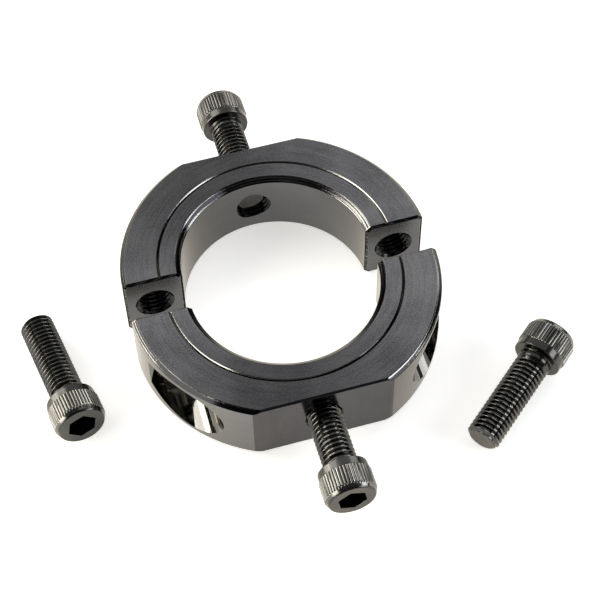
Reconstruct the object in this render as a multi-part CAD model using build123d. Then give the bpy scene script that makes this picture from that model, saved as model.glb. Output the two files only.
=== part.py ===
from build123d import *
import math
import os

# Two-piece clamping shaft collar, laid open on a flat surface. Millimetres and degrees.
# The origin is the middle of the bore in the tapped half: +Z is the bore axis, +Y points
# from the saw cut into the tapped half, and the surface is at half the width below.

# Collar ring
outer_diameter = 57.15
bore_diameter = 34.925
width = 14.2875
saw_kerf = 1.6
flat_depth = 2.875          # rim to each flat
rim_chamfer = 0.8
bore_chamfer = 1.0
split_chamfer = 0.5         # round the faces that the saw leaves
flat_chamfer = 0.35
groove_from_bore = 4.1375   # bore to the groove that shows which faces belong together
groove_width = 0.55
groove_depth = 0.3

# Socket-head cap screws, all four alike
thread_diameter = 6.35
thread_pitch = 25.4 / 28
thread_depth = 0.28
screw_length = 19.05
head_diameter = 9.525
head_height = 6.35
head_chamfer = 0.5
socket_width = 4.7625       # across flats
socket_depth = 3.05
tip_chamfer = 0.7
crest_flat = 0.025          # thread crests lie this far inside the thread diameter

# Holes
thread_clearance = 0.04     # screw crest to tapped wall, all round
shank_clearance = 0.275     # clamp screw's thread to the hole that it passes through, all round
head_clearance = 0.7875     # clamp screw's head to its counterbore, all round
grip_length = 7.2           # metal under a clamp screw's head
clamp_countersink = 0.5
radial_countersink = 0.3
overrun = 1.0               # cutters run this far past a face

# How the parts lie
open_distance = 5.6         # front half, from closed
rear_screw_stand_out = 12.0     # bearing face to flat
front_screw_stand_out = 10.9
left_screw_place = (-42.3, -13.8)   # bearing face centre on the surface's plan
left_screw_heading = 98.8           # the way the tip points, from +X
right_screw_place = (40.6, -29.35)
right_screw_heading = -140.4
rear_socket_turn = 8
front_socket_turn = 21
left_socket_turn = 42.5
right_socket_turn = 33

outer_radius = outer_diameter / 2
bore_radius = bore_diameter / 2
half_width = width / 2
half_kerf = saw_kerf / 2
flat_distance = outer_radius - flat_depth
groove_radius = bore_radius + groove_from_bore
clamp_x = (outer_radius + bore_radius) / 2      # the clamp holes run down the middle of the wall
screw_radius = thread_diameter / 2 - crest_flat
tapped_radius = screw_radius + thread_clearance
head_radius = head_diameter / 2
clearance_radius = thread_diameter / 2 + shank_clearance
counterbore_radius = head_radius + head_clearance


def full_ring():
    """The turned blank: outer rim and bore chamfered at both faces."""
    with_chamfers = [
        (bore_radius + bore_chamfer, -half_width),
        (outer_radius - rim_chamfer, -half_width),
        (outer_radius, -half_width + rim_chamfer),
        (outer_radius, half_width - rim_chamfer),
        (outer_radius - rim_chamfer, half_width),
        (bore_radius + bore_chamfer, half_width),
        (bore_radius, half_width - bore_chamfer),
        (bore_radius, -half_width + bore_chamfer),
    ]
    section = Plane.XZ * make_face(Polyline(*with_chamfers, close=True))
    return revolve(section, Axis.Z)


def face_groove():
    """V-shaped ring cut into the upper face."""
    vee = [
        (groove_radius - groove_width / 2, half_width),
        (groove_radius, half_width - groove_depth),
        (groove_radius + groove_width / 2, half_width),
        (groove_radius, half_width + groove_depth),
    ]
    return revolve(Plane.XZ * make_face(Polyline(*vee, close=True)), Axis.Z)


def blank_half():
    """Half of the ring on the +Y side, with its sawn faces and its milled flat broken at the edges."""
    side = Box(outer_diameter, outer_radius, width, align=(Align.CENTER, Align.MIN, Align.CENTER))
    half = full_ring() & (Pos(0, half_kerf, 0) * side)
    half -= Pos(0, flat_distance, 0) * side
    sawn_faces = half.faces().filter_by(Plane.XZ).group_by(Axis.Y)[0]
    half = chamfer(sawn_faces.edges(), split_chamfer)
    flat_face = half.faces().filter_by(Plane.XZ).group_by(Axis.Y)[-1]
    half = chamfer(flat_face.edges(), flat_chamfer)
    return half - face_groove()


def tap(start, direction, length, countersink):
    """Cutter for a tapped hole that starts at a face: thread grooves outside the screw's crests."""
    step = thread_pitch / 2
    mouth_radius = tapped_radius + countersink
    outline = [(0, -overrun), (mouth_radius + overrun, -overrun), (tapped_radius, countersink)]
    depth = countersink + step
    while depth < length:
        outline.append((tapped_radius + thread_depth, depth))
        outline.append((tapped_radius, depth + step))
        depth += thread_pitch
    outline.append((tapped_radius, length + overrun))
    outline.append((0, length + overrun))
    cutter = revolve(Plane.XZ * make_face(Polyline(*outline, close=True)), Axis.Z)
    return Plane(origin=start, z_dir=direction) * cutter


def radial_tap():
    return tap((0, flat_distance, 0), (0, -1, 0), flat_distance - bore_radius, radial_countersink)


def tapped_half():
    """Rear half: both clamp holes are tapped right through it, out of its round side."""
    half = blank_half() - radial_tap()
    for x in (-clamp_x, clamp_x):
        half -= tap((x, half_kerf, 0), (0, 1, 0), outer_radius - half_kerf, clamp_countersink)
    return half


def counterbored_half():
    """Front half: clearance holes, and counterbores that break out through the round side."""
    half = blank_half() - radial_tap()
    seat = half_kerf + grip_length
    for x in (-clamp_x, clamp_x):
        along = Plane(origin=(x, 0, 0), z_dir=(0, 1, 0))
        bottom = (Align.CENTER, Align.CENTER, Align.MIN)
        half -= along * Cylinder(clearance_radius, outer_radius, align=bottom)
        pocket = Cylinder(counterbore_radius, outer_radius, align=bottom)
        half -= along.offset(seat) * pocket
    return Pos(0, -open_distance, 0) * (Rot(0, 0, 180) * half)


def cap_screw(socket_turn):
    """Screw along +Z from its bearing face at z = 0, head below, socket open towards -Z."""
    head = Cylinder(head_radius, head_height, align=(Align.CENTER, Align.CENTER, Align.MAX))
    head = chamfer(head.edges().group_by(Axis.Z)[0], head_chamfer)
    shank = Cylinder(screw_radius, screw_length, align=(Align.CENTER, Align.CENTER, Align.MIN))
    shank = chamfer(shank.edges().group_by(Axis.Z)[-1], tip_chamfer)
    hexagon = RegularPolygon(socket_width / 2, 6, major_radius=False, rotation=socket_turn)
    socket = Pos(0, 0, -head_height) * extrude(hexagon, socket_depth)
    return head + shank - socket


def radial_screw(side, stand_out, socket_turn, centre_y):
    """Screw run part way into a flat, pointing at the bore axis; side is +1 at the rear, -1 in front."""
    bearing = (0, centre_y + side * (flat_distance + stand_out), 0)
    return Plane(origin=bearing, x_dir=(1, 0, 0), z_dir=(0, -side, 0)) * cap_screw(socket_turn)


def loose_screw(place, heading, socket_turn):
    """Screw lying on the surface, on the edge of its head and the last thread before its tip."""
    tilt = math.atan((head_radius - screw_radius) / (screw_length - tip_chamfer))
    turn = math.radians(heading)
    level = math.cos(tilt)
    towards_tip = (math.cos(turn) * level, math.sin(turn) * level, -math.sin(tilt))
    across = (-math.sin(turn), math.cos(turn), 0)
    bearing = (*place, head_radius * level - half_width)
    return Plane(origin=bearing, x_dir=across, z_dir=towards_tip) * cap_screw(socket_turn)


pieces = {
    "tapped_half": tapped_half(),
    "counterbored_half": counterbored_half(),
    "rear_radial_screw": radial_screw(1, rear_screw_stand_out, rear_socket_turn, 0),
    "front_radial_screw": radial_screw(-1, front_screw_stand_out, front_socket_turn, -open_distance),
    "left_clamp_screw": loose_screw(left_screw_place, left_screw_heading, left_socket_turn),
    "right_clamp_screw": loose_screw(right_screw_place, right_screw_heading, right_socket_turn),
}

os.makedirs("parts", exist_ok=True)
for name, piece in pieces.items():
    export_step(piece, f"parts/{name}.step")
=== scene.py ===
import math
import bmesh
import bpy
from mathutils import Matrix, Vector


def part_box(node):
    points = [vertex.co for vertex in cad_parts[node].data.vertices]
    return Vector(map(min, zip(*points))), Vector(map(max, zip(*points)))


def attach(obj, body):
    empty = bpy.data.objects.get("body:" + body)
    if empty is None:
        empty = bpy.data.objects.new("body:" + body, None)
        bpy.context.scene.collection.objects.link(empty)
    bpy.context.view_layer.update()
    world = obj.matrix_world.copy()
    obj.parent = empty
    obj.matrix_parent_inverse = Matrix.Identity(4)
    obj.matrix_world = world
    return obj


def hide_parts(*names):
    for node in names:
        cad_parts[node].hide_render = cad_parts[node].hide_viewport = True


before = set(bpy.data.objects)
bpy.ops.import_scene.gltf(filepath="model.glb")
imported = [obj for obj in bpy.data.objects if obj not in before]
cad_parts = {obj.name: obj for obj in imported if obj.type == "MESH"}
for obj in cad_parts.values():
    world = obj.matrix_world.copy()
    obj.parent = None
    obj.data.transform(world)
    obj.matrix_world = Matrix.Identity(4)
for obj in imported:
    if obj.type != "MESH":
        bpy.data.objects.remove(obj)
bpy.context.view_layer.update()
perMetre = 1000.0   # pieces are modelled in millimetres and brought to metres when finished
nearly = 0.01       # millimetres, when picking what lies on a plane


def selectOnly(piece):
    if bpy.context.object and bpy.context.object.mode != "OBJECT":
        bpy.ops.object.mode_set(mode="OBJECT")
    bpy.ops.object.select_all(action="DESELECT")
    piece.select_set(True)
    bpy.context.view_layer.objects.active = piece


def startPiece(name):
    # the primitive just added becomes the piece, with its place in its mesh
    piece = bpy.context.object
    selectOnly(piece)
    bpy.ops.object.transform_apply(location=True, rotation=True, scale=True)
    piece.name = name
    return piece


def openEdit(piece, kind="FACE", action="DESELECT"):
    selectOnly(piece)
    bpy.ops.object.mode_set(mode="EDIT")
    bpy.ops.mesh.select_mode(type=kind)
    bpy.ops.mesh.select_all(action=action)


def closeEdit():
    bpy.ops.object.mode_set(mode="OBJECT")


def pick(piece, kind, wanted):
    shape = bmesh.from_edit_mesh(piece.data)
    for part in {"VERT": shape.verts, "EDGE": shape.edges, "FACE": shape.faces}[kind]:
        if wanted(part):
            part.select_set(True)
    shape.select_flush_mode()
    bmesh.update_edit_mesh(piece.data)


def cleanShell(piece):
    openEdit(piece, "VERT", "SELECT")
    bpy.ops.mesh.remove_doubles(threshold=0.002)
    bpy.ops.mesh.normals_make_consistent(inside=False)
    if bmesh.from_edit_mesh(piece.data).calc_volume(signed=True) < 0:
        bpy.ops.mesh.flip_normals()     # a fine thread can come out inside out
    closeEdit()


def applyModifier(piece, kind, **settings):
    selectOnly(piece)
    modifier = piece.modifiers.new(kind.title(), kind)
    for setting, value in settings.items():
        setattr(modifier, setting, value)
    bpy.ops.object.modifier_apply(modifier=modifier.name)


def combine(piece, tool, operation="DIFFERENCE"):
    applyModifier(piece, "BOOLEAN", operation=operation, solver="MANIFOLD", object=tool,
                  material_mode="TRANSFER")
    bpy.data.objects.remove(tool)


def copyOf(piece, name):
    other = piece.copy()
    other.data = piece.data.copy()
    other.name = other.data.name = name
    bpy.context.collection.objects.link(other)
    return other


def place(piece, matrix):
    selectOnly(piece)
    piece.matrix_world = matrix
    bpy.ops.object.transform_apply(location=True, rotation=True, scale=True)


def finishSurface(piece, angle):
    openEdit(piece, "VERT", "SELECT")
    bpy.ops.mesh.remove_doubles(threshold=0.0005)
    bpy.ops.mesh.dissolve_degenerate(threshold=0.001)
    closeEdit()
    bpy.ops.object.shade_smooth_by_angle(angle=math.radians(angle))
    applyModifier(piece, "WEIGHTED_NORMAL", keep_sharp=True, weight=100)
    piece.scale = [1 / perMetre] * 3
    bpy.ops.object.transform_apply(location=True, rotation=True, scale=True)


def vertexChain(name, start, moves):
    # one vertex, drawn out into a chain of edges in the XZ plane
    bpy.ops.mesh.primitive_plane_add(size=1, location=(start[0], 0, start[1]))
    chain = startPiece(name)
    openEdit(chain, "VERT", "SELECT")
    bpy.ops.mesh.merge(type="CENTER")
    for across, up in moves:
        bpy.ops.mesh.extrude_region_move(TRANSFORM_OT_translate={"value": (across, 0, up)})
    closeEdit()
    return chain


def newGroup(name, inputs, outputs):
    group = bpy.data.node_groups.new(name, "ShaderNodeTree")
    for label, kind, value in inputs:
        socket = group.interface.new_socket(label, in_out="INPUT", socket_type=kind)
        if value is not None:
            socket.default_value = value
    for label, kind in outputs:
        group.interface.new_socket(label, in_out="OUTPUT", socket_type=kind)
    return group


def addNode(tree, kind, values=None, **settings):
    node = tree.nodes.new(kind)
    for setting, value in settings.items():
        setattr(node, setting, value)
    for socket, value in (values or {}).items():
        if isinstance(value, bpy.types.NodeSocket):
            tree.links.new(value, node.inputs[socket])
        else:
            node.inputs[socket].default_value = value
    return node


def maths(tree, operation, first, second):
    return addNode(tree, "ShaderNodeMath", {0: first, 1: second}, operation=operation).outputs[0]


def vectorMaths(tree, operation, first, second=None):
    values = {0: first} if second is None else {0: first, 1: second}
    return addNode(tree, "ShaderNodeVectorMath", values, operation=operation)


def buildTurnedMarks():
    # rings left by the lathe tool: they follow the radius on a face and the height on a wall, beside a
    # painted highlight mask that is lighter in two sectors round the axis
    heightShare = 3.0       # how much a step in height counts beside a step in radius
    coarseShare = 0.6
    coarseScale = 0.23
    group = newGroup("turnedMarks", [
        ("Vector", "NodeSocketVector", None),
        ("Marks per mm", "NodeSocketFloat", 3.0),
        ("Break up", "NodeSocketFloat", 2.5),
        ("Painted sheen direction", "NodeSocketVector", None),
    ], [("Height", "NodeSocketFloat"), ("Tone", "NodeSocketFloat"), ("Painted sheen", "NodeSocketFloat")])
    source = addNode(group, "NodeGroupInput")
    result = addNode(group, "NodeGroupOutput")
    split = addNode(group, "ShaderNodeSeparateXYZ", {0: source.outputs["Vector"]})
    flat = addNode(group, "ShaderNodeCombineXYZ", {0: split.outputs[0], 1: split.outputs[1]})
    radius = vectorMaths(group, "LENGTH", flat.outputs[0]).outputs["Value"]
    around = vectorMaths(group, "NORMALIZE", flat.outputs[0]).outputs[0]
    # painted highlight: two lighter sectors either side of a given direction round the axis, standing in for
    # the sheen that the lamps give a turned face
    lean = vectorMaths(group, "DOT_PRODUCT", around, source.outputs["Painted sheen direction"]).outputs["Value"]
    group.links.new(maths(group, "MULTIPLY", lean, lean), result.inputs["Painted sheen"])
    spread = vectorMaths(group, "SCALE", around)
    group.links.new(source.outputs["Break up"], spread.inputs["Scale"])
    travel = maths(group, "ADD", radius, maths(group, "MULTIPLY", split.outputs[2], heightShare))
    travel = maths(group, "MULTIPLY", travel, perMetre)
    along = maths(group, "MULTIPLY", travel, source.outputs["Marks per mm"])
    stretched = maths(group, "MULTIPLY", along, coarseScale)
    fine = addNode(group, "ShaderNodeTexNoise", {
        "Vector": spread.outputs[0], "W": along, "Scale": 1.0, "Detail": 2.0}, noise_dimensions="4D")
    coarse = addNode(group, "ShaderNodeTexNoise", {
        "Vector": spread.outputs[0], "W": stretched, "Scale": 1.0, "Detail": 3.0}, noise_dimensions="4D")
    height = maths(group, "ADD", fine.outputs[0], maths(group, "MULTIPLY", coarse.outputs[0], coarseShare))
    tone = maths(group, "MULTIPLY", maths(group, "ADD", fine.outputs[0], coarse.outputs[0]), 0.5)
    group.links.new(height, result.inputs["Height"])
    group.links.new(tone, result.inputs["Tone"])
    return group


def buildStraightMarks():
    # parallel scores left by a saw or a milling cutter: the stretch is their scale along each axis
    group = newGroup("straightMarks", [
        ("Vector", "NodeSocketVector", None),
        ("Stretch", "NodeSocketVector", None),
    ], [("Height", "NodeSocketFloat"), ("Tone", "NodeSocketFloat")])
    source = addNode(group, "NodeGroupInput")
    result = addNode(group, "NodeGroupOutput")
    scaled = vectorMaths(group, "MULTIPLY", source.outputs["Vector"], source.outputs["Stretch"]).outputs[0]
    fine = addNode(group, "ShaderNodeTexNoise", {"Vector": scaled, "Scale": 1.0, "Detail": 4.0})
    broad = addNode(group, "ShaderNodeTexNoise", {"Vector": scaled, "Scale": 0.2, "Detail": 2.0})
    tone = maths(group, "MULTIPLY", maths(group, "ADD", fine.outputs[0], broad.outputs[0]), 0.5)
    group.links.new(fine.outputs[0], result.inputs["Height"])
    group.links.new(tone, result.inputs["Tone"])
    return group


def buildEdgeWear():
    # a mask along the outer edges, where handling has polished the black finish
    group = newGroup("edgeWear", [
        ("Vector", "NodeSocketVector", None),
        ("Width", "NodeSocketFloat", 0.15),
        ("Patchiness", "NodeSocketFloat", 900.0),
    ], [("Mask", "NodeSocketFloat")])
    source = addNode(group, "NodeGroupInput")
    result = addNode(group, "NodeGroupOutput")
    rounded = addNode(group, "ShaderNodeBevel", samples=6)
    group.links.new(maths(group, "MULTIPLY", source.outputs["Width"], 1 / perMetre), rounded.inputs["Radius"])
    facing = addNode(group, "ShaderNodeNewGeometry").outputs["Normal"]
    meet = vectorMaths(group, "DOT_PRODUCT", rounded.outputs[0], facing).outputs["Value"]
    edge = addNode(group, "ShaderNodeMapRange", {"Value": meet, "From Min": 0.995, "From Max": 0.9})
    patches = addNode(group, "ShaderNodeTexNoise", {
        "Vector": source.outputs["Vector"], "Scale": source.outputs["Patchiness"], "Detail": 3.0})
    some = addNode(group, "ShaderNodeMapRange", {
        "Value": patches.outputs[0], "From Min": 0.35, "From Max": 0.65})
    group.links.new(maths(group, "MULTIPLY", edge.outputs[0], some.outputs[0]), result.inputs["Mask"])
    return group


def buildOilBloom():
    # uneven depth of the oiled black finish, with fine specks in it
    group = newGroup("oilBloom", [
        ("Vector", "NodeSocketVector", None),
        ("Patch scale", "NodeSocketFloat", 90.0),
        ("Speck scale", "NodeSocketFloat", 2600.0),
    ], [("Bloom", "NodeSocketFloat"), ("Specks", "NodeSocketFloat")])
    source = addNode(group, "NodeGroupInput")
    result = addNode(group, "NodeGroupOutput")
    patches = addNode(group, "ShaderNodeTexNoise", {
        "Vector": source.outputs["Vector"], "Scale": source.outputs["Patch scale"], "Detail": 4.0})
    specks = addNode(group, "ShaderNodeTexNoise", {
        "Vector": source.outputs["Vector"], "Scale": source.outputs["Speck scale"], "Detail": 2.0})
    group.links.new(patches.outputs[0], result.inputs["Bloom"])
    group.links.new(specks.outputs[0], result.inputs["Specks"])
    return group


turnedMarks = buildTurnedMarks()
straightMarks = buildStraightMarks()
edgeWear = buildEdgeWear()
oilBloom = buildOilBloom()
print("shared finish groups built")


def blackSteel(name, look, centre=(0, 0, 0)):
    # black oxide on steel; look["marks"] says what the tool left on the surface
    material = bpy.data.materials.new(name)
    material.use_nodes = True
    tree = material.node_tree
    shader = tree.nodes["Principled BSDF"]
    spot = addNode(tree, "ShaderNodeTexCoord").outputs["Object"]
    centred = addNode(tree, "ShaderNodeMapping", {
        "Vector": spot, "Location": [-value for value in centre]}).outputs[0]
    bloom = addNode(tree, "ShaderNodeGroup", node_tree=oilBloom)
    tree.links.new(spot, bloom.inputs["Vector"])
    bloom.inputs["Patch scale"].default_value = look["patchScale"]
    bloom.inputs["Speck scale"].default_value = look["speckScale"]
    if look["marks"] == "turned":
        marks = addNode(tree, "ShaderNodeGroup", node_tree=turnedMarks)
        marks.inputs["Marks per mm"].default_value = look["marksPerMm"]
        marks.inputs["Break up"].default_value = look["breakUp"]
        paintedSheenAt = math.radians(look["paintedSheenAt"])
        marks.inputs["Painted sheen direction"].default_value = (math.cos(paintedSheenAt), math.sin(paintedSheenAt), 0)
    else:
        marks = addNode(tree, "ShaderNodeGroup", node_tree=straightMarks)
        marks.inputs["Stretch"].default_value = look["stretch"]
    tree.links.new(centred, marks.inputs["Vector"])
    wear = addNode(tree, "ShaderNodeGroup", node_tree=edgeWear)
    tree.links.new(spot, wear.inputs["Vector"])
    wear.inputs["Width"].default_value = look["wearWidth"]

    # colour: dark and light finish mixed by marks, bloom and specks, then a painted highlight that makes it
    # lighter in two sectors, then the worn edges over it
    tone = maths(tree, "ADD", maths(tree, "MULTIPLY", marks.outputs["Tone"], look["markTone"]),
                 maths(tree, "MULTIPLY", bloom.outputs["Bloom"], look["bloomTone"]))
    tone = maths(tree, "ADD", tone, maths(tree, "MULTIPLY", bloom.outputs["Specks"], look["speckTone"]))
    whole = look["markTone"] + look["bloomTone"] + look["speckTone"]
    low, high = look["contrast"]
    spread = addNode(tree, "ShaderNodeMapRange", {
        "Value": tone, "From Min": low * whole, "From Max": high * whole})
    finish = addNode(tree, "ShaderNodeMix", data_type="RGBA")
    tree.links.new(spread.outputs[0], finish.inputs["Factor"])
    finish.inputs["A"].default_value = (*look["dark"], 1)
    finish.inputs["B"].default_value = (*look["light"], 1)
    black = finish.outputs["Result"]
    if look["paintedSheen"]:     # painted highlight: how many times lighter the finish is painted in the middle of its two sectors
        paintedSheenColour = vectorMaths(tree, "MULTIPLY", black, [look["paintedSheen"]] * 3)
        withPaintedSheen = addNode(tree, "ShaderNodeMix", data_type="RGBA")
        tree.links.new(marks.outputs["Painted sheen"], withPaintedSheen.inputs["Factor"])
        tree.links.new(black, withPaintedSheen.inputs["A"])
        tree.links.new(paintedSheenColour.outputs[0], withPaintedSheen.inputs["B"])
        black = withPaintedSheen.outputs["Result"]
    worn = addNode(tree, "ShaderNodeMix", data_type="RGBA")
    tree.links.new(maths(tree, "MULTIPLY", wear.outputs["Mask"], look["wear"]), worn.inputs["Factor"])
    tree.links.new(black, worn.inputs["A"])
    worn.inputs["B"].default_value = (*look["bare"], 1)
    tree.links.new(worn.outputs["Result"], shader.inputs["Base Color"])

    # roughness follows the same marks, a little smoother where the edges are polished
    smoothest, roughest = look["rough"]
    rough = addNode(tree, "ShaderNodeMapRange", {
        "Value": spread.outputs[0], "To Min": smoothest, "To Max": roughest})
    polish = maths(tree, "MULTIPLY", wear.outputs["Mask"], 0.08)
    polished = maths(tree, "SUBTRACT", rough.outputs[0], polish)
    tree.links.new(polished, shader.inputs["Roughness"])
    shader.inputs["Metallic"].default_value = 1.0
    shader.inputs["Specular Tint"].default_value = (1.0, 0.95, 0.86, 1.0)

    # relief
    marked = addNode(tree, "ShaderNodeBump", {
        "Height": marks.outputs["Height"], "Strength": 1.0, "Distance": look["markDepth"] / perMetre})
    speckled = addNode(tree, "ShaderNodeBump", {
        "Height": bloom.outputs["Specks"], "Strength": 1.0, "Distance": look["speckDepth"] / perMetre,
        "Normal": marked.outputs[0]})
    tree.links.new(speckled.outputs[0], shader.inputs["Normal"])
    return material


# one look for each way that a surface was made: tones are linear, depths and widths in millimetres
# paintedSheen is how many times lighter a painted highlight makes the finish in two sectors round the axis,
# paintedSheenAt their direction in degrees; 0 leaves it out
facedLook = {
    "marks": "turned", "marksPerMm": 4.6, "breakUp": 3.0, "patchScale": 120.0, "speckScale": 5200.0,
    "markTone": 0.35, "bloomTone": 0.3, "speckTone": 0.6, "contrast": (0.38, 0.62), "paintedSheen": 2.1, "paintedSheenAt": 24.0,
    "dark": (0.042, 0.042, 0.045), "light": (0.118, 0.118, 0.123), "bare": (0.36, 0.35, 0.32),
    "wear": 0.4, "wearWidth": 0.10, "rough": (0.27, 0.36), "markDepth": 0.020, "speckDepth": 0.020,
}
# the front half's faces get a stronger painted highlight, in sectors at another angle
frontFacedLook = dict(facedLook, paintedSheen=2.35, paintedSheenAt=-10.0)
# bore and rim walls: painted highlight, lighter in two sectors at the same angle as on the faces
wallLook = dict(facedLook, marksPerMm=1.6, contrast=(0.36, 0.64), paintedSheen=1.25, dark=(0.112, 0.112, 0.113),
                light=(0.148, 0.147, 0.146), rough=(0.13, 0.19), markDepth=0.002, speckDepth=0.001, wear=0.25)
chamferLook = dict(facedLook, marksPerMm=3.3, breakUp=0.9, markTone=1.0, bloomTone=0.05, speckTone=0.1,
                   paintedSheen=0, contrast=(0.525, 0.555), dark=(0.018, 0.018, 0.020), light=(0.25, 0.25, 0.245),
                   rough=(0.12, 0.18), markDepth=0.008, speckDepth=0.001)
milledLook = dict(wallLook, marks="straight", paintedSheen=0, stretch=(2600.0, 2600.0, 260.0),
                  dark=(0.056, 0.056, 0.063), light=(0.084, 0.084, 0.092), markDepth=0.001)
sawnLook = dict(wallLook, marks="straight", paintedSheen=0, stretch=(260.0, 2600.0, 2600.0), dark=(0.10, 0.10, 0.102),
                light=(0.14, 0.14, 0.141), rough=(0.22, 0.32), markDepth=0.003, speckDepth=0.002)
tappedLook = dict(wallLook, marks="straight", paintedSheen=0, stretch=(1500.0, 300.0, 1500.0),
                  dark=(0.020, 0.020, 0.021), light=(0.040, 0.040, 0.042), rough=(0.12, 0.2), wear=0.6)
pocketLook = dict(wallLook, marks="straight", paintedSheen=0, stretch=(1800.0, 120.0, 1800.0),
                  dark=(0.15, 0.148, 0.14), light=(0.22, 0.217, 0.205), rough=(0.05, 0.09), markDepth=0.001)
screwLook = {
    "marks": "straight", "stretch": (1600.0, 1600.0, 1600.0), "patchScale": 160.0, "speckScale": 3400.0,
    "markTone": 0.4, "bloomTone": 0.35, "speckTone": 0.25, "contrast": (0.36, 0.64), "paintedSheen": 0,
    "dark": (0.100, 0.099, 0.093), "light": (0.175, 0.173, 0.163), "bare": (0.34, 0.33, 0.30),
    "wear": 0.45, "wearWidth": 0.08, "rough": (0.13, 0.22), "markDepth": 0.002, "speckDepth": 0.002,
}
threadLook = dict(screwLook, dark=(0.045, 0.045, 0.044), light=(0.090, 0.089, 0.085), rough=(0.11, 0.17),
                  wear=1.0, wearWidth=0.07, bare=(0.50, 0.49, 0.46), markDepth=0.0004, speckDepth=0.0004)
headEndLook = dict(screwLook, dark=(0.048, 0.048, 0.046), light=(0.088, 0.087, 0.083), rough=(0.16, 0.26))
socketLook = dict(screwLook, dark=(0.04, 0.04, 0.042), light=(0.07, 0.07, 0.072), wear=0.3)

# the collar is one blank, and the two halves are drilled in their own ways
collar = {
    "outerRadius": 28.575,
    "boreRadius": 17.4625,
    "width": 14.2875,
    "kerf": 1.6,
    "flatDistance": 25.7,
    "rimChamfer": 0.8,
    "boreChamfer": 1.0,
    "splitChamfer": 0.5,
    "flatChamfer": 0.35,
    "edgeRound": 0.12,
    "grooveRadius": 21.6,
    "grooveWidth": 0.55,
    "grooveDepth": 0.3,
    "stepsAround": 180,
}
holes = {
    "clampX": (collar["outerRadius"] + collar["boreRadius"]) / 2,   # down the middle of the wall
    "crestRadius": 3.19,
    "threadDepth": 0.36,
    "threadFlats": (0.22, 0.12),
    "pitch": 25.4 / 28,
    "clampMouth": 0.5,
    "radialMouth": 0.3,
    "clearanceRadius": 3.45,
    "pocketRadius": 5.55,
    "pocketEdge": 0.15,
    "grip": 7.2,
    "roundSteps": 40,
}
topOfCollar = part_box("tapped_half")[1].z * perMetre
openDistance = -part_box("counterbored_half")[0].y * perMetre - collar["flatDistance"]

# turned surfaces have their marks round the bore, which is further forward on the front half, and the front
# faces carry their own painted highlight
frontCentre = (0, -openDistance / perMetre, 0)
turned = {}
for label, rearLook, frontLook in (
    ("faced", facedLook, frontFacedLook),
    ("bored", wallLook, wallLook),
    ("chamfered", chamferLook, chamferLook),
):
    turned[label] = blackSteel(label + "BlackSteel", rearLook)
    turned[label + "Front"] = blackSteel(label + "BlackSteelFront", frontLook, frontCentre)
milled = blackSteel("milledBlackSteel", milledLook)
sawn = blackSteel("sawnBlackSteel", sawnLook)
tapped = blackSteel("tappedBlackSteel", tappedLook)
pocketed = blackSteel("pocketBlackSteel", pocketLook)
screwBlack = blackSteel("screwBlackOxide", screwLook)
threadBlack = blackSteel("threadBlackOxide", threadLook)
socketBlack = blackSteel("socketBlackOxide", socketLook)
headEndBlack = blackSteel("headEndBlackOxide", headEndLook)
print("finishes built")


def buildBlank():
    middle = (collar["outerRadius"] + collar["boreRadius"]) / 2
    bpy.ops.mesh.primitive_plane_add(size=1, location=(middle, 0, 0), rotation=(math.pi / 2, 0, 0))
    blank = startPiece("collarBlank")
    wall = collar["outerRadius"] - collar["boreRadius"]
    openEdit(blank, "VERT", "SELECT")
    bpy.ops.transform.resize(value=(wall, 1, collar["width"]), center_override=(middle, 0, 0))
    for size, outside in ((collar["rimChamfer"], True), (collar["boreChamfer"], False)):
        bpy.ops.mesh.select_all(action="DESELECT")
        pick(blank, "VERT", lambda v: abs(v.co.z) > topOfCollar - nearly and (v.co.x > middle) == outside)
        bpy.ops.mesh.bevel(offset=size, offset_type="OFFSET", segments=1, affect="VERTICES")
    bpy.ops.mesh.select_all(action="SELECT")
    bpy.ops.mesh.spin(steps=collar["stepsAround"], angle=-math.pi, center=(0, 0, 0), axis=(0, 0, 1))
    closeEdit()
    cleanShell(blank)
    # slots: 0 faces, 1 bore and rim, 2 chamfers, 3 sawn, 4 milled
    for material in (turned["faced"], turned["bored"], turned["chamfered"], sawn, milled):
        blank.data.materials.append(material)
    for slot, steepest in ((2, 0.9), (1, 0.1)):
        openEdit(blank, "FACE")
        pick(blank, "FACE", lambda f: abs(f.normal.z) < steepest)
        blank.active_material_index = slot
        bpy.ops.object.material_slot_assign()
        closeEdit()
    openEdit(blank, "FACE", "SELECT")
    bpy.ops.mesh.bisect(plane_co=(0, collar["kerf"] / 2, 0), plane_no=(0, 1, 0), use_fill=True,
                        clear_inner=True)
    blank.active_material_index = 3
    bpy.ops.object.material_slot_assign()
    bpy.ops.mesh.bevel(offset=collar["splitChamfer"], offset_type="OFFSET", segments=1, affect="EDGES",
                       material=2)
    # the milled flat first, then the cuts that break its long edges and its two ends
    flat, broken = collar["flatDistance"], collar["flatChamfer"]
    end = math.sqrt(collar["outerRadius"] ** 2 - flat ** 2)
    lean = math.asin(end / collar["outerRadius"]) / 2
    deep = broken * math.tan(lean)
    endX, endY = end - deep * math.sin(lean), flat - deep * math.cos(lean)
    cuts = [((0, flat, 0), (0, 1, 0))]
    cuts += [((0, flat - broken, side * topOfCollar), (0, 1, side)) for side in (-1, 1)]
    cuts += [((side * endX, endY, 0), (side * math.sin(lean), math.cos(lean), 0)) for side in (-1, 1)]
    for through, facing in cuts:
        bpy.ops.mesh.select_all(action="SELECT")
        bpy.ops.mesh.bisect(plane_co=through, plane_no=facing, use_fill=True, clear_outer=True)
        blank.active_material_index = 4
        bpy.ops.object.material_slot_assign()
    closeEdit()
    applyModifier(blank, "BEVEL", width=collar["edgeRound"], segments=2, limit_method="ANGLE",
                  angle_limit=math.radians(28), use_clamp_overlap=True)
    return blank


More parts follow.
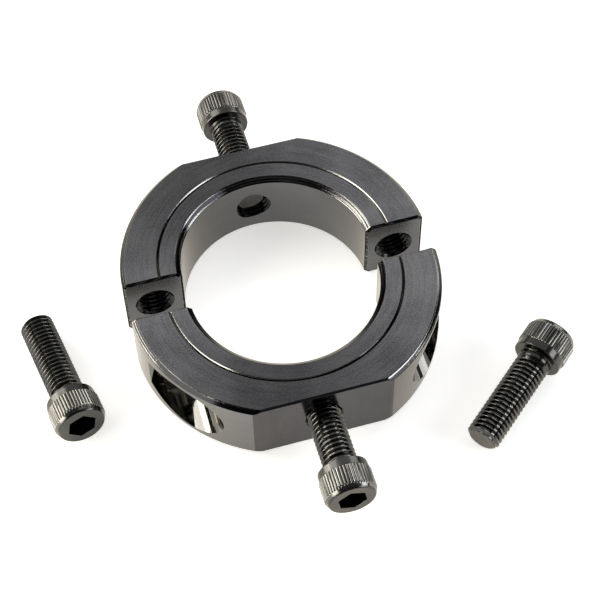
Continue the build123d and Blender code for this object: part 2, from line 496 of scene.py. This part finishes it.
def grooveCutter():
    ring = vertexChain("grooveCutter", (collar["grooveRadius"] - collar["grooveWidth"] / 2, topOfCollar), [
        (collar["grooveWidth"] / 2, -collar["grooveDepth"]),
        (collar["grooveWidth"] / 2, collar["grooveDepth"]),
        (0, collar["grooveDepth"]),
        (-collar["grooveWidth"], 0),
        (0, -collar["grooveDepth"]),
    ])
    ring.data.materials.append(turned["chamfered"])
    openEdit(ring, "VERT", "SELECT")
    bpy.ops.mesh.spin(steps=collar["stepsAround"] * 2, angle=math.tau, center=(0, 0, 0), axis=(0, 0, 1))
    closeEdit()
    cleanShell(ring)
    return ring


crestRise = 0.02    # the middle of a thread's crest stands this far above its edges


def threadedRod(name, inner, outer, pitch, length, flats, steps):
    # a thread along +Z from z = 0: flats are the shares of the pitch on its inner and outer radius
    slope = (1 - flats[0] - flats[1]) / 2 * pitch
    rod = vertexChain(name, (inner, -2 * pitch), [
        (0, flats[0] * pitch),
        (outer - inner, slope),
        (crestRise, flats[1] * pitch / 2),
        (-crestRise, flats[1] * pitch / 2),
        (inner - outer, slope),
    ])
    turns = math.ceil(length / pitch) + 4
    applyModifier(rod, "SCREW", axis="Z", angle=math.tau, screw_offset=pitch, iterations=turns,
                  steps=steps, render_steps=steps, use_merge_vertices=True, merge_threshold=0.002)
    cleanShell(rod)
    openEdit(rod, "FACE", "SELECT")
    bpy.ops.mesh.bisect(plane_co=(0, 0, 0), plane_no=(0, 0, 1), use_fill=True, clear_inner=True)
    bpy.ops.mesh.select_all(action="SELECT")
    bpy.ops.mesh.bisect(plane_co=(0, 0, length), plane_no=(0, 0, 1), use_fill=True, clear_outer=True)
    closeEdit()
    cleanShell(rod)
    return rod


def aim(start, direction, turn=0.0):
    # carries something modelled along +Z so that it starts at a point and runs in a direction
    side = Vector((1, 0, 0)) if abs(direction[0]) < 0.5 else Vector((0, 1, 0))
    ahead = Vector(direction).normalized()
    across = (side - ahead * side.dot(ahead)).normalized()
    axes = Matrix((across, ahead.cross(across), ahead)).transposed().to_4x4()
    return Matrix.Translation(start) @ axes @ Matrix.Rotation(turn, 4, "Z")


def quarterFace(half, start, direction):
    # parts a flat face through the axis of a hole to come, so that no face runs right round the hole
    facing = Vector(direction)
    for across in (Vector((0, 0, 1)), facing.cross((0, 0, 1))):
        openEdit(half, "FACE")
        pick(half, "FACE", lambda f: abs(f.normal.dot(facing)) > 0.999
             and abs((f.calc_center_median() - Vector(start)).dot(facing)) < nearly)
        bpy.ops.mesh.bisect(plane_co=start, plane_no=across)
        closeEdit()


def cutTappedHole(half, start, direction, length, mouth):
    quarterFace(half, start, direction)
    overrun = 1     # tools start outside the face and end past the far side
    crest = holes["crestRadius"]
    tool = threadedRod("tap", crest, crest + holes["threadDepth"], holes["pitch"], length + 2 * overrun,
                       holes["threadFlats"], holes["roundSteps"])
    tool.data.materials.append(tapped)
    place(tool, aim(Vector(start) - overrun * Vector(direction), direction))
    combine(half, tool)
    bpy.ops.mesh.primitive_cone_add(vertices=64, radius1=crest + mouth + overrun, radius2=crest,
                                    depth=mouth + overrun, location=(0, 0, (mouth - overrun) / 2))
    sink = startPiece("countersink")
    sink.data.materials.append(tapped)
    place(sink, aim(start, direction))
    combine(half, sink)


def cutRoundHole(half, start, direction, radius, corner):
    length = collar["outerRadius"]      # always out through the rim
    bpy.ops.mesh.primitive_cylinder_add(vertices=96, radius=radius, depth=length,
                                        location=(0, 0, length / 2), end_fill_type="TRIFAN")
    tool = startPiece("drill")
    tool.data.materials.append(pocketed)
    if corner:
        openEdit(tool, "EDGE")
        pick(tool, "EDGE", lambda e: all(v.co.z < 0.001 and v.co.xy.length > radius / 2 for v in e.verts))
        bpy.ops.mesh.bevel(offset=corner, segments=2, affect="EDGES")
        closeEdit()
    place(tool, aim(start, direction))
    combine(half, tool)


blank = buildBlank()
combine(blank, grooveCutter())
cutTappedHole(blank, (0, collar["flatDistance"], 0), (0, -1, 0),
              collar["flatDistance"] - collar["boreRadius"], holes["radialMouth"])
print("collar blank turned, milled and split")

sawnFace = collar["kerf"] / 2
tappedHalf = copyOf(blank, "tapped_half_detail")
for x in (-holes["clampX"], holes["clampX"]):
    cutTappedHole(tappedHalf, (x, sawnFace, 0), (0, 1, 0), collar["outerRadius"] - sawnFace,
                  holes["clampMouth"])

pocketHalf = copyOf(blank, "counterbored_half_detail")
for x in (-holes["clampX"], holes["clampX"]):
    quarterFace(pocketHalf, (x, sawnFace, 0), (0, 1, 0))
    cutRoundHole(pocketHalf, (x, 0, 0), (0, 1, 0), holes["clearanceRadius"], 0)
    cutRoundHole(pocketHalf, (x, sawnFace + holes["grip"], 0), (0, 1, 0), holes["pocketRadius"],
                 holes["pocketEdge"])
place(pocketHalf, Matrix.Translation((0, -openDistance, 0)) @ Matrix.Rotation(math.pi, 4, "Z"))
for index, material in enumerate(pocketHalf.data.materials):
    for label in ("faced", "bored", "chamfered"):
        if material == turned[label]:
            pocketHalf.data.materials[index] = turned[label + "Front"]
bpy.data.objects.remove(blank)

for half, node, body in (
    (tappedHalf, "tapped_half", "tapped_half_body"),
    (pocketHalf, "counterbored_half", "front_half_body"),
):
    finishSurface(half, 30)
    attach(half, body)
    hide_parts(node)
    print(node, "finished with", len(half.data.polygons), "faces")

# one socket-head cap screw is modelled along +Z from its bearing face, then copied for all four
screw = {
    "crestRadius": 3.15,
    "rootRadius": 2.65,
    "threadFlats": (0.24, 0.14),
    "threadStart": 0.5,
    "pitch": 25.4 / 28,
    "length": 19.05,
    "tipChamfer": 0.7,
    "tipRadius": 2.45,
    "headRadius": 4.7625,
    "headHeight": 6.35,
    "knurlTeeth": 48,
    "knurlRoot": 4.56,
    "knurlShoulder": 4.72,
    "endBand": (-6.0, -1.6),    # above and below these heights the head is plain and darker
    "socketWidth": 4.7625,
    "socketDepth": 3.05,
    "socketCorner": 0.12,
    "drillStep": 0.25,      # from the socket's floor edge to the drill point below it
    "drillPoint": 0.7,
    "mouthRadius": 2.85,
    "mouthEdge": 0.09,
    "roundSteps": 48,
}
# height and radius of each ring of the head, from its top to the run-out of the thread
headRings = [
    (-6.35, 4.00), (-6.32, 4.10), (-6.25, 4.20), (-6.13, 4.30), (-5.96, 4.38), (-5.75, 4.45),
    (-5.55, 4.55), (-5.38, 4.66), (-5.18, 4.74), (-5.00, 4.7625),
    (-1.72, 4.7625), (-1.64, 4.60), (-1.56, 4.55), (-0.34, 4.55), (-0.12, 4.48), (0.0, 4.28),
    (0.0, 3.45), (0.10, 3.24), (0.30, 3.12), (1.0, 3.12), (2.1, 2.58),
]
knurled = (-5.55, -5.38, -5.18, -5.00, -1.72)   # the rings that the knurl is pressed into
pointsPerTooth = 4


def buildHead():
    top, first = headRings[0]
    count = screw["knurlTeeth"] * pointsPerTooth
    bpy.ops.mesh.primitive_circle_add(vertices=count, radius=first, fill_type="NGON", location=(0, 0, top))
    head = startPiece("capScrew")
    openEdit(head, "FACE", "SELECT")
    height, radius = top, first
    for nextHeight, nextRadius in headRings[1:]:
        bpy.ops.mesh.extrude_region_move(TRANSFORM_OT_translate={"value": (0, 0, nextHeight - height)})
        grow = nextRadius / radius
        bpy.ops.transform.resize(value=(grow, grow, 1), center_override=(0, 0, 0))
        height, radius = nextHeight, nextRadius
    closeEdit()
    # the valleys of the straight knurl, then the shoulders on both sides of them
    shoulder = screw["knurlShoulder"]
    for offset, target in ((0, screw["knurlRoot"]), (1, shoulder), (pointsPerTooth - 1, shoulder)):
        for level in knurled:
            openEdit(head, "VERT")

            def inValley(v):
                step = round((math.atan2(v.co.y, v.co.x) / math.tau) % 1 * count) % pointsPerTooth
                return abs(v.co.z - level) < nearly and step == offset

            pick(head, "VERT", inValley)
            shape = bmesh.from_edit_mesh(head.data)
            there = max((v.co.xy.length for v in shape.verts if v.select), default=target)
            shrink = min(1.0, target / there)
            bpy.ops.transform.resize(value=(shrink, shrink, 1), center_override=(0, 0, 0))
            closeEdit()
    cleanShell(head)
    for material in (screwBlack, headEndBlack):
        head.data.materials.append(material)
    openEdit(head, "FACE")
    above, below = screw["endBand"]
    pick(head, "FACE", lambda f: not above < f.calc_center_median().z < below)
    head.active_material_index = 1
    bpy.ops.object.material_slot_assign()
    bpy.ops.mesh.select_all(action="DESELECT")
    pick(head, "FACE", lambda f: len(f.verts) == count)
    bpy.ops.mesh.poke()
    closeEdit()
    return head


def buildShank():
    length = screw["length"]
    rod = threadedRod("thread", screw["rootRadius"], screw["crestRadius"] - crestRise, screw["pitch"],
                      length - screw["threadStart"], screw["threadFlats"], screw["roundSteps"])
    place(rod, Matrix.Translation((0, 0, screw["threadStart"])))
    rod.data.materials.append(threadBlack)
    # what the turned envelope leaves of the thread has a chamfered tip
    wide = screw["crestRadius"] + 0.25      # clear of the crests
    bpy.ops.mesh.primitive_cylinder_add(vertices=96, radius=wide, depth=length, location=(0, 0, length / 2))
    envelope = startPiece("tipEnvelope")
    envelope.data.materials.append(threadBlack)
    openEdit(envelope, "FACE")
    pick(envelope, "FACE", lambda f: f.normal.z > 0.9)
    bpy.ops.transform.translate(value=(0, 0, -screw["tipChamfer"]))
    bpy.ops.mesh.extrude_region_move(TRANSFORM_OT_translate={"value": (0, 0, screw["tipChamfer"])})
    shrink = screw["tipRadius"] / wide
    bpy.ops.transform.resize(value=(shrink, shrink, 1), center_override=(0, 0, 0))
    closeEdit()
    combine(rod, envelope, "INTERSECT")
    return rod


def buildSocketCutter():
    overrun = 1     # the cutter starts this far outside the head
    depth = screw["socketDepth"] + overrun
    corner = screw["socketWidth"] / math.sqrt(3)
    bpy.ops.mesh.primitive_cylinder_add(vertices=6, radius=corner, depth=depth,
                                        location=(0, 0, depth / 2 - screw["headHeight"] - overrun))
    cutter = startPiece("socketCutter")
    cutter.data.materials.append(socketBlack)
    openEdit(cutter, "EDGE")
    pick(cutter, "EDGE", lambda e: abs(e.verts[0].co.z - e.verts[1].co.z) > 1)
    bpy.ops.mesh.bevel(offset=screw["socketCorner"], segments=2, affect="EDGES")
    # drill point below the hexagon
    bpy.ops.mesh.select_mode(type="FACE")
    bpy.ops.mesh.select_all(action="DESELECT")
    pick(cutter, "FACE", lambda f: f.normal.z > 0.9)
    bpy.ops.mesh.inset(thickness=screw["drillStep"], depth=0)
    bpy.ops.mesh.extrude_region_move(TRANSFORM_OT_translate={"value": (0, 0, screw["drillPoint"])})
    bpy.ops.mesh.merge(type="CENTER")
    closeEdit()
    # Blender starts a hexagon with a corner on +Y, so it is turned to start on +X
    place(cutter, Matrix.Rotation(math.radians(30), 4, "Z"))
    return cutter


capScrew = buildHead()
combine(capScrew, buildShank(), "UNION")
combine(capScrew, buildSocketCutter())


def onSocketMouth(e):
    # the hexagon's rim: in the head's end face, near the axis, with a socket wall beside it
    flush = all(abs(v.co.z + screw["headHeight"]) < 0.001 for v in e.verts)
    inner = all(v.co.xy.length < screw["mouthRadius"] for v in e.verts)
    return flush and inner and any(abs(f.normal.z) < 0.1 for f in e.link_faces)


openEdit(capScrew, "EDGE")
pick(capScrew, "EDGE", onSocketMouth)
bpy.ops.mesh.bevel(offset=screw["mouthEdge"], segments=2, affect="EDGES")
closeEdit()
print("cap screw modelled with", len(capScrew.data.polygons), "faces")

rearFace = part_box("rear_radial_screw")[1].y * perMetre - screw["headHeight"]
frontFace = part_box("front_radial_screw")[0].y * perMetre + screw["headHeight"]
radialTurns = {"rear": 8, "front": 21}
lying = {
    "left_clamp_screw": {"at": (-42.3, -13.8), "heading": 98.8, "socketTurn": 42.5},
    "right_clamp_screw": {"at": (40.6, -29.35), "heading": -140.4, "socketTurn": 33},
}


def lyingMatrix(how):
    # on the edge of its head and the last thread before its tip
    tilt = math.atan((screw["headRadius"] - screw["crestRadius"]) / (screw["length"] - screw["tipChamfer"]))
    turn = math.radians(how["heading"])
    ahead = Vector((math.cos(turn) * math.cos(tilt), math.sin(turn) * math.cos(tilt), -math.sin(tilt)))
    across = Vector((-math.sin(turn), math.cos(turn), 0))
    axes = Matrix((across, ahead.cross(across), ahead)).transposed().to_4x4()
    centre = Vector((*how["at"], screw["headRadius"] * math.cos(tilt) - topOfCollar))
    return Matrix.Translation(centre) @ axes @ Matrix.Rotation(math.radians(how["socketTurn"]), 4, "Z")


screwPlaces = {
    "rear_radial_screw": aim((0, rearFace, 0), (0, -1, 0), math.radians(radialTurns["rear"])),
    "front_radial_screw": aim((0, frontFace, 0), (0, 1, 0), math.radians(radialTurns["front"])),
}
for node, how in lying.items():
    screwPlaces[node] = lyingMatrix(how)
for node, matrix in screwPlaces.items():
    body = node + "_body"
    piece = copyOf(capScrew, node + "_detail")
    place(piece, matrix)
    finishSurface(piece, 32)
    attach(piece, body)
    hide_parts(node)
bpy.data.objects.remove(capScrew)
print("four screws placed")

studio = {
    "floorColour": (0.86, 0.86, 0.86, 1),
    "floorGlow": (0.60, 0.595, 0.58, 1),
    "worldStrength": 0.10,
}
# each light is a rectangle facing the collar: where it is, its size, its radiance and its colour
lights = {
    "ceiling": ((0.15, 0.52, 1.04), (1.7, 1.2), 0.62, (1.0, 1.0, 1.0)),
    "leftBox": ((-0.573, 0.02, 0.165), (0.75, 0.32), 7.0, (1.0, 0.95, 0.85)),
    "highBox": ((-0.527, 0.475, 0.554), (0.6, 0.55), 4.0, (1.0, 0.96, 0.88)),
    "farBox": ((0.675, 0.39, 0.45), (0.5, 0.45), 3.0, (0.97, 0.98, 1.0)),
    "backBox": ((0.1, 0.95, 0.40), (0.9, 0.36), 0.7, (1.0, 0.97, 0.92)),
    "rightBox": ((0.492, -0.235, 0.254), (0.44, 0.24), 5.5, (0.97, 0.97, 1.0)),
}

bpy.ops.mesh.primitive_plane_add(size=3.0, location=(0, 0, -topOfCollar / perMetre))
floor = bpy.context.object
floor.name = "floor"
paper = bpy.data.materials.new("whitePaper")
paper.use_nodes = True
sheet = paper.node_tree.nodes["Principled BSDF"]
sheet.inputs["Base Color"].default_value = studio["floorColour"]
sheet.inputs["Emission Color"].default_value = studio["floorGlow"]
sheet.inputs["Emission Strength"].default_value = 1.0
sheet.inputs["Roughness"].default_value = 0.9
sheet.inputs["Specular IOR Level"].default_value = 0.1
floor.data.materials.append(paper)

world = bpy.data.worlds.new("studio")
bpy.context.scene.world = world
world.use_nodes = True
world.node_tree.nodes["Background"].inputs["Color"].default_value = (1, 1, 1, 1)
world.node_tree.nodes["Background"].inputs["Strength"].default_value = studio["worldStrength"]

for label, (at, (across, tall), radiance, colour) in lights.items():
    bpy.ops.object.light_add(type="AREA", location=at)
    lamp = bpy.context.object
    lamp.name = label
    lamp.data.shape = "RECTANGLE"
    lamp.data.size = across
    lamp.data.size_y = tall
    lamp.data.energy = radiance * math.pi * across * tall
    lamp.data.color = colour
    lamp.rotation_euler = (-Vector(at)).to_track_quat("-Z", "Y").to_euler()

camera = {"at": (-0.04143, -0.17249, 0.25287), "turn": (34.216, 0.7495, -15.974), "lens": 99.5}
bpy.ops.object.camera_add(location=camera["at"], rotation=[math.radians(angle) for angle in camera["turn"]])
bpy.context.object.data.lens = camera["lens"]
bpy.context.object.data.clip_start = 0.01
bpy.context.scene.camera = bpy.context.object
bpy.context.scene.view_settings.view_transform = "Standard"
print("studio set up")
